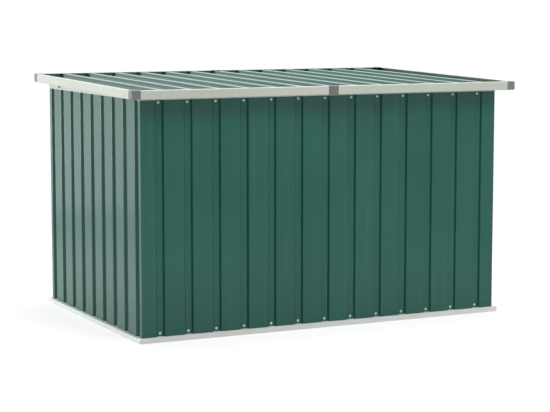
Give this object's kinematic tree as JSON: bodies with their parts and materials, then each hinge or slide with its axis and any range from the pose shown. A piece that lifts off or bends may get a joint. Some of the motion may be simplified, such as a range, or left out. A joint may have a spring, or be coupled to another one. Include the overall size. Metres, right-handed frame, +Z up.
{
  "type": "garden storage box",
  "caption": "Low rectangular garden storage box of ribbed painted steel sheet, with pale base and edge rails and a gently sloping lid that is hinged at the back and held open by gas struts.",
  "frame": {"origin": "on the ground, under the middle of the closed lid's outline", "axes": "+X along the front to the right, +Y from the front to the back, +Z up; the front faces -Y"},
  "size_m": [1.49, 0.9904, 0.8681],
  "materials": {
    "green_sheet": "satin moss green coil coating",
    "pale_trim": "satin off-white coil coating",
    "grey_plastic": "fine matt moulded grey",
    "galvanised_steel": "dull zinc with faint spangle",
    "zinc_fasteners": "bright zinc plate",
    "hinge_steel": "zinc plate",
    "black_paint": "semi-gloss black",
    "chrome_rod": "ground and hard chromed",
    "black_plastic": "matt black"
  },
  "bodies": {
    "box": {"back_panel_narrow": "green_sheet", "back_panel_wide": "green_sheet", "base_rail_back": "pale_trim", "base_rail_front": "pale_trim", "base_rail_left": "pale_trim", "base_rail_right": "pale_trim", "corner_post_back_left": "galvanised_steel", "corner_post_back_right": "galvanised_steel", "corner_post_front_left": "galvanised_steel", "corner_post_front_right": "galvanised_steel", "front_panel_narrow": "green_sheet", "front_panel_wide": "green_sheet", "hinge_pin_centre": "zinc_fasteners", "hinge_pin_left": "zinc_fasteners", "hinge_pin_right": "zinc_fasteners", "hinge_rivets_wall": "zinc_fasteners", "hinge_wall_leaf_centre": "hinge_steel", "hinge_wall_leaf_left": "hinge_steel", "hinge_wall_leaf_right": "hinge_steel", "side_panel_left": "green_sheet", "side_panel_right": "green_sheet", "strut_bolt_left": "black_paint", "strut_bolt_right": "black_paint", "strut_bush_left": "black_plastic", "strut_bush_right": "black_plastic", "top_rail_back": "pale_trim", "top_rail_front": "pale_trim", "top_rail_left": "pale_trim", "top_rail_right": "pale_trim", "wall_screws_back": "zinc_fasteners", "wall_screws_front": "zinc_fasteners", "wall_screws_left": "zinc_fasteners", "wall_screws_right": "zinc_fasteners"},
    "lid": {"hinge_lid_leaf_centre": "hinge_steel", "hinge_lid_leaf_left": "hinge_steel", "hinge_lid_leaf_right": "hinge_steel", "hinge_rivets_lid": "zinc_fasteners", "lid_bar_centre": "galvanised_steel", "lid_bar_left": "galvanised_steel", "lid_bar_right": "galvanised_steel", "lid_cap_back_left": "grey_plastic", "lid_cap_back_right": "grey_plastic", "lid_cap_front_left": "grey_plastic", "lid_cap_front_right": "grey_plastic", "lid_connector_back": "grey_plastic", "lid_connector_front": "grey_plastic", "lid_rail_back_left": "pale_trim", "lid_rail_back_right": "pale_trim", "lid_rail_front_left": "pale_trim", "lid_rail_front_right": "pale_trim", "lid_rail_left": "pale_trim", "lid_rail_right": "pale_trim", "lid_sheet_left": "green_sheet", "lid_sheet_right": "green_sheet", "strut_lid_bracket_left": "galvanised_steel", "strut_lid_bracket_right": "galvanised_steel"},
    "strut_cylinder_left": {"strut_cylinder_left": "black_paint"},
    "strut_rod_left": {"strut_rod_left": "chrome_rod"},
    "strut_cylinder_right": {"strut_cylinder_right": "black_paint"},
    "strut_rod_right": {"strut_rod_right": "chrome_rod"}
  },
  "joints": [
    {"name": "lid_hinge", "type": "hinge", "parent": "box", "child": "lid", "pos_m": [0, 0.4714, 0.83218], "axis": [-1, 0, 0], "range_deg": [0, 75]},
    {"name": "strut_swing_left", "type": "hinge", "parent": "box", "child": "strut_cylinder_left", "pos_m": [-0.665, 0.348, 0.8255], "axis": [-1, 0, 0], "range_deg": [0, 86.8]},
    {"name": "strut_slide_left", "type": "slide", "parent": "strut_cylinder_left", "child": "strut_rod_left", "axis": [0, -1, -0.0081], "range_m": [0, 0.1089]},
    {"name": "strut_swing_right", "type": "hinge", "parent": "box", "child": "strut_cylinder_right", "pos_m": [0.665, 0.348, 0.8255], "axis": [-1, 0, 0], "range_deg": [0, 86.8]},
    {"name": "strut_slide_right", "type": "slide", "parent": "strut_cylinder_right", "child": "strut_rod_right", "axis": [0, -1, -0.0081], "range_m": [0, 0.1089]}
  ],
  "couplings": [
    {"joint": "strut_swing_left", "follows": "lid_hinge", "ratio": 1.1512},
    {"joint": "strut_slide_left", "follows": "lid_hinge", "m_per_rad": 0.082818},
    {"joint": "strut_swing_right", "follows": "lid_hinge", "ratio": 1.1512},
    {"joint": "strut_slide_right", "follows": "lid_hinge", "m_per_rad": 0.082818}
  ]
}
